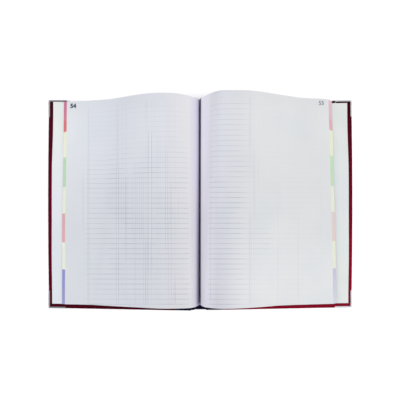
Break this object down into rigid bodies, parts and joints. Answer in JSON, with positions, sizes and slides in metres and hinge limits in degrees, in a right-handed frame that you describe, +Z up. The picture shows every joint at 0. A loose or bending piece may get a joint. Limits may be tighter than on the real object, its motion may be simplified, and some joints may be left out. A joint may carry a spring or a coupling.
{
  "type": "ledger book",
  "caption": "Open case-bound ledger book with ruled pages, coloured index edge and metal corner protectors; both covers hinge closed.",
  "frame": {"origin": "on the resting plane, under the middle of the open book", "axes": "+X across the opening towards the right-hand page, +Y towards the head of the pages, +Z up"},
  "size_m": [0.448, 0.3097, 0.0394],
  "materials": {
    "board": "matt grey board",
    "book_cloth": "dark red woven book cloth, faint sheen",
    "spine_cloth": "navy woven book cloth",
    "corner_metal": "bright nickel-plated steel sheet",
    "endpaper": "smooth white endpaper",
    "left_pages": "uncoated white ledger paper, ruled, printed colour index on the fore-edge",
    "right_pages": "uncoated white ledger paper, ruled, printed colour index on the fore-edge",
    "mull": "open-weave cotton",
    "fold_paper": "folded paper sections",
    "thread": "waxed linen thread",
    "band": "blue and white worked cotton bead"
  },
  "bodies": {
    "spine": {"spine_strip": "board", "spine_cloth": "spine_cloth", "spine_mull": "mull", "section_folds": "fold_paper", "sewing_thread": "thread", "head_band": "band", "tail_band": "band"},
    "front_cover": {"front_board": "board", "front_cover_cloth": "book_cloth", "front_spine_cloth_flap": "spine_cloth", "front_head_corner": "corner_metal", "front_tail_corner": "corner_metal", "front_pastedown": "endpaper", "front_flyleaf": "endpaper"},
    "back_cover": {"back_board": "board", "back_cover_cloth": "book_cloth", "back_spine_cloth_flap": "spine_cloth", "back_head_corner": "corner_metal", "back_tail_corner": "corner_metal", "back_pastedown": "endpaper", "back_flyleaf": "endpaper"},
    "left_leaves_1": {"left_leaves_1": "left_pages"},
    "left_leaves_2": {"left_leaves_2": "left_pages"},
    "left_leaves_3": {"left_leaves_3": "left_pages"},
    "left_leaves_4": {"left_leaves_4": "left_pages"},
    "left_leaves_5": {"left_leaves_5": "left_pages"},
    "left_leaves_6": {"left_leaves_6": "left_pages"},
    "right_leaves_1": {"right_leaves_1": "right_pages"},
    "right_leaves_2": {"right_leaves_2": "right_pages"},
    "right_leaves_3": {"right_leaves_3": "right_pages"},
    "right_leaves_4": {"right_leaves_4": "right_pages"},
    "right_leaves_5": {"right_leaves_5": "right_pages"},
    "right_leaves_6": {"right_leaves_6": "right_pages"}
  },
  "joints": [
    {"name": "front_cover_hinge", "type": "hinge", "parent": "spine", "child": "front_cover", "pos_m": [-0.009, 0, 0.0095], "axis": [0, 1, 0], "range_deg": [0, 92.2]},
    {"name": "back_cover_hinge", "type": "hinge", "parent": "spine", "child": "back_cover", "pos_m": [0.009, 0, 0.0095], "axis": [0, -1, 0], "range_deg": [0, 92.2]},
    {"name": "left_fold_1", "type": "hinge", "parent": "spine", "child": "left_leaves_1", "pos_m": [-0.00075, 0, 0.0106], "axis": [0, 1, 0], "range_deg": [0, 30.55]},
    {"name": "left_fold_2", "type": "hinge", "parent": "left_leaves_1", "child": "left_leaves_2", "pos_m": [-0.00511, 0.0015, 0.01801], "axis": [0.0113, 0.9998, -0.0191], "range_deg": [0, 30.15]},
    {"name": "left_fold_3", "type": "hinge", "parent": "left_leaves_2", "child": "left_leaves_3", "pos_m": [-0.02337, 0.00144, 0.0283], "axis": [-0.0535, 0.9984, 0.0174], "range_deg": [0, 26.35]},
    {"name": "left_fold_4", "type": "hinge", "parent": "left_leaves_3", "child": "left_leaves_4", "pos_m": [-0.05477, 0.00137, 0.03002], "axis": [-0.0189, 0.9997, 0.0155], "range_deg": [0, 12.35]},
    {"name": "left_fold_5", "type": "hinge", "parent": "left_leaves_4", "child": "left_leaves_5", "pos_m": [-0.11697, 0.00145, 0.02], "axis": [0.2243, 0.973, 0.0542], "range_deg": [0, 10.95]},
    {"name": "left_fold_6", "type": "hinge", "parent": "left_leaves_5", "child": "left_leaves_6", "pos_m": [-0.14383, 0.00147, 0.01035], "axis": [-0.084, -0.9965, -0.0032], "range_deg": [0, 17.75]},
    {"name": "right_fold_1", "type": "hinge", "parent": "spine", "child": "right_leaves_1", "pos_m": [-0.00045, 0, 0.0106], "axis": [0, -1, 0], "range_deg": [0, 9.45]},
    {"name": "right_fold_2", "type": "hinge", "parent": "right_leaves_1", "child": "right_leaves_2", "pos_m": [0.00094, 0.0015, 0.01899], "axis": [0.0033, -0.9998, 0.0199], "range_deg": [0, 35.35]},
    {"name": "right_fold_3", "type": "hinge", "parent": "right_leaves_2", "child": "right_leaves_3", "pos_m": [0.01571, 0.00142, 0.03392], "axis": [-0.052, -0.998, -0.036], "range_deg": [0, 45.95]},
    {"name": "right_fold_4", "type": "hinge", "parent": "right_leaves_3", "child": "right_leaves_4", "pos_m": [0.0569, 0.0017, 0.03355], "axis": [-0.0272, -0.999, -0.0363], "range_deg": [0, 9.35]},
    {"name": "right_fold_5", "type": "hinge", "parent": "right_leaves_4", "child": "right_leaves_5", "pos_m": [0.08804, 0.00212, 0.02818], "axis": [0.0853, -0.9948, -0.0556], "range_deg": [0, 9.25]},
    {"name": "right_fold_6", "type": "hinge", "parent": "right_leaves_5", "child": "right_leaves_6", "pos_m": [0.1297, 0.00292, 0.01387], "axis": [0.1224, 0.9924, -0.0159], "range_deg": [0, 17.05]}
  ],
  "couplings": [
    {"joint": "left_fold_1", "follows": "front_cover_hinge", "ratio": 0.3308},
    {"joint": "left_fold_2", "follows": "front_cover_hinge", "ratio": 0.32646},
    {"joint": "left_fold_3", "follows": "front_cover_hinge", "ratio": 0.28525},
    {"joint": "left_fold_4", "follows": "front_cover_hinge", "ratio": 0.13341},
    {"joint": "left_fold_5", "follows": "front_cover_hinge", "ratio": 0.11822},
    {"joint": "left_fold_6", "follows": "front_cover_hinge", "ratio": 0.19197},
    {"joint": "right_fold_1", "follows": "back_cover_hinge", "ratio": 0.10195},
    {"joint": "right_fold_2", "follows": "back_cover_hinge", "ratio": 0.38286},
    {"joint": "right_fold_3", "follows": "back_cover_hinge", "ratio": 0.49783},
    {"joint": "right_fold_4", "follows": "back_cover_hinge", "ratio": 0.10087},
    {"joint": "right_fold_5", "follows": "back_cover_hinge", "ratio": 0.099783},
    {"joint": "right_fold_6", "follows": "back_cover_hinge", "ratio": 0.18438}
  ]
}
